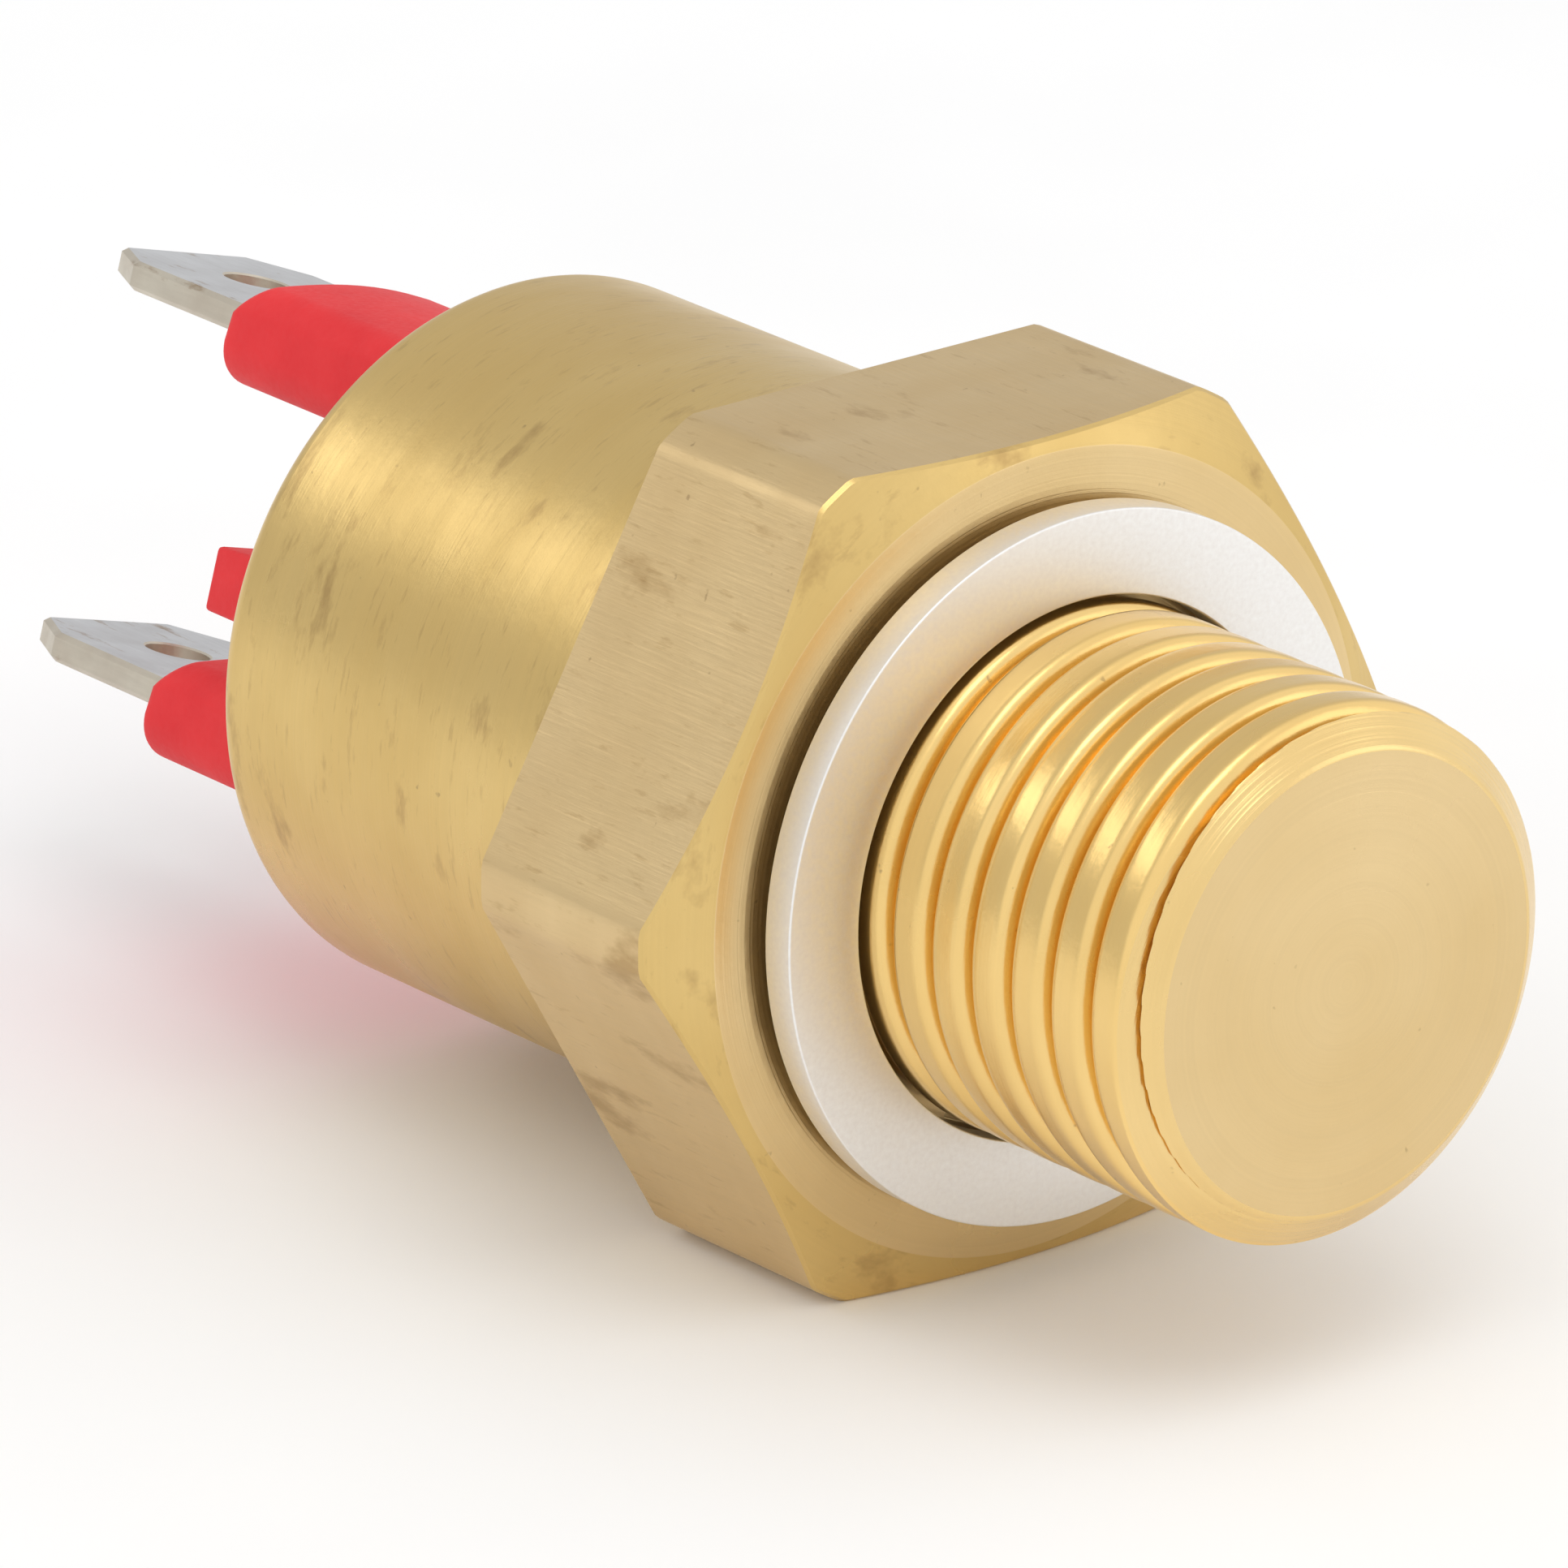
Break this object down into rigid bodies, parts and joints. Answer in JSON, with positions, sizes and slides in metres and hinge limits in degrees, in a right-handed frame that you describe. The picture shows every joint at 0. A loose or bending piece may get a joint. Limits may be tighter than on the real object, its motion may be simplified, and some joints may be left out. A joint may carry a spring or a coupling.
{
  "type": "screw-in switch",
  "caption": "Brass screw-in switch with a hexagon, a threaded closed stud, a loose sealing washer and two blade terminals in red insulating boots.",
  "frame": {"origin": "on the thread axis, at the face of the sealing washer that seals against the engine or tank", "axes": "-Y along the stud, the way the threaded boss comes off; +Y towards the terminals; +Z square to the top flat of the hexagon"},
  "size_m": [0.0248, 0.0491, 0.022],
  "materials": {
    "brass": "turned and drawn brass, satin, machining lines",
    "washer_aluminium": "soft matte aluminium",
    "bimetal": "rolled bimetal strip",
    "plated_steel": "pressed steel",
    "ceramic": "unglazed white ceramic",
    "phenolic": "brown phenolic moulding",
    "tinned_brass": "tin-plated brass blade",
    "spring_copper": "beryllium copper spring leaf",
    "contact_silver": "silver contact rivet",
    "rivet_brass": "brass rivet",
    "liner_board": "rolled insulating board",
    "seal_rubber": "moulded rubber",
    "resin": "cast resin",
    "red_insulator": "moulded red plastic, matte"
  },
  "bodies": {
    "switch_body": {"housing": "brass", "disc_retainer": "plated_steel", "guide_sleeve": "ceramic", "contact_base": "phenolic", "arm_terminal": "tinned_brass", "contact_terminal": "tinned_brass", "clamp_plate": "plated_steel", "arm_rivet": "rivet_brass", "fixed_contact": "contact_silver", "insulating_liner": "liner_board", "wave_washer": "plated_steel", "rim_gasket": "seal_rubber", "sealing_resin": "resin", "terminal_seals": "seal_rubber", "insulator": "red_insulator"},
    "washer": {"seal_washer": "washer_aluminium"},
    "push_pin": {"transfer_pin": "ceramic", "snap_disc": "bimetal"},
    "contact_spring": {"contact_arm": "spring_copper", "moving_contact": "contact_silver"}
  },
  "joints": [
    {"name": "washer_slide", "type": "slide", "parent": "switch_body", "child": "washer", "axis": [0, -1, 0], "range_m": [-0.0004, 0.0115]},
    {"name": "pin_slide", "type": "slide", "parent": "switch_body", "child": "push_pin", "axis": [0, 1, 0], "range_m": [0, 0.00025]},
    {"name": "contact_hinge", "type": "hinge", "parent": "switch_body", "child": "contact_spring", "pos_m": [-0.00085, 0.00953, -0.00308], "axis": [-0.9636, 0, 0.2672], "range_deg": [0, 4.48]}
  ],
  "couplings": [
    {"joint": "contact_hinge", "follows": "pin_slide", "rad_per_m": 312.5}
  ]
}
